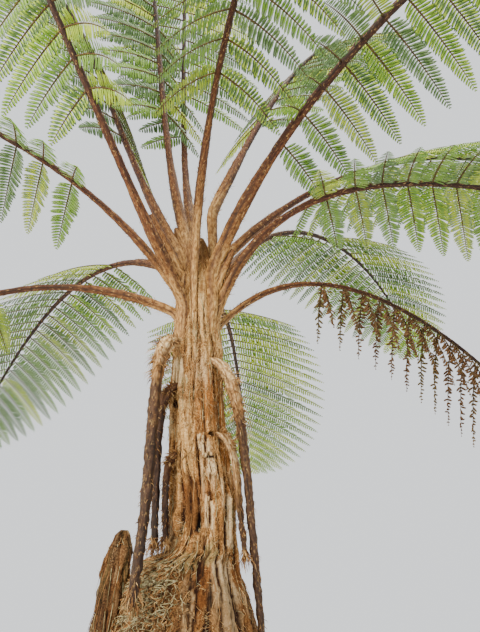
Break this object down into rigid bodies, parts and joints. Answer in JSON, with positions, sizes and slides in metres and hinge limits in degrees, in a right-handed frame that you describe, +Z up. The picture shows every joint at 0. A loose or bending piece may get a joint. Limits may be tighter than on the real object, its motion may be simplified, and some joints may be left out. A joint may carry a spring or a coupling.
{
  "type": "tree fern",
  "caption": "Tree fern with a fibrous upright trunk, a crown of long arching divided fronds, dead stalks hanging beside the trunk and an old stump at its foot.",
  "frame": {"origin": "middle of the flat cut under the trunk, at ground level", "axes": "+Z up along the trunk; +X to the right and -Y towards the viewer of the picture"},
  "size_m": [5.4733, 5.1472, 5.73],
  "materials": {
    "trunk_fibre": "matted brown fibre over pale bare wood",
    "stump_fibre": "rough dark fibre",
    "dead_stalk": "dry shaggy dark brown stalk",
    "live_stalk": "red-brown stalk with dark scales",
    "frond_blade": "soft green leaflets, paler beneath"
  },
  "bodies": {
    "root": {"trunk": "trunk_fibre", "side_stump": "stump_fibre", "dead_stalk_1": "dead_stalk", "dead_stalk_2": "dead_stalk", "dead_stalk_3": "dead_stalk", "dead_stalk_4": "dead_stalk", "dead_stalk_5": "dead_stalk", "dead_stalk_6": "dead_stalk", "dead_stalk_7": "dead_stalk", "dead_stalk_8": "dead_stalk", "frond_01_stalk": "live_stalk", "frond_01_blade": "frond_blade", "frond_02_stalk": "live_stalk", "frond_02_blade": "frond_blade", "frond_03_stalk": "live_stalk", "frond_03_blade": "frond_blade", "frond_04_stalk": "live_stalk", "frond_04_blade": "frond_blade", "frond_05_stalk": "live_stalk", "frond_05_blade": "frond_blade", "frond_06_stalk": "live_stalk", "frond_06_blade": "frond_blade", "frond_07_stalk": "live_stalk", "frond_07_blade": "frond_blade", "frond_08_stalk": "live_stalk", "frond_08_blade": "frond_blade", "frond_09_stalk": "live_stalk", "frond_09_blade": "frond_blade", "frond_10_stalk": "live_stalk", "frond_10_blade": "frond_blade", "frond_11_stalk": "live_stalk", "frond_11_blade": "frond_blade", "frond_12_stalk": "live_stalk", "frond_12_blade": "frond_blade", "frond_13_stalk": "live_stalk", "frond_13_blade": "frond_blade", "frond_14_stalk": "live_stalk", "frond_14_blade": "frond_blade", "frond_15_stalk": "live_stalk", "frond_15_blade": "frond_blade"}
  },
  "joints": []
}
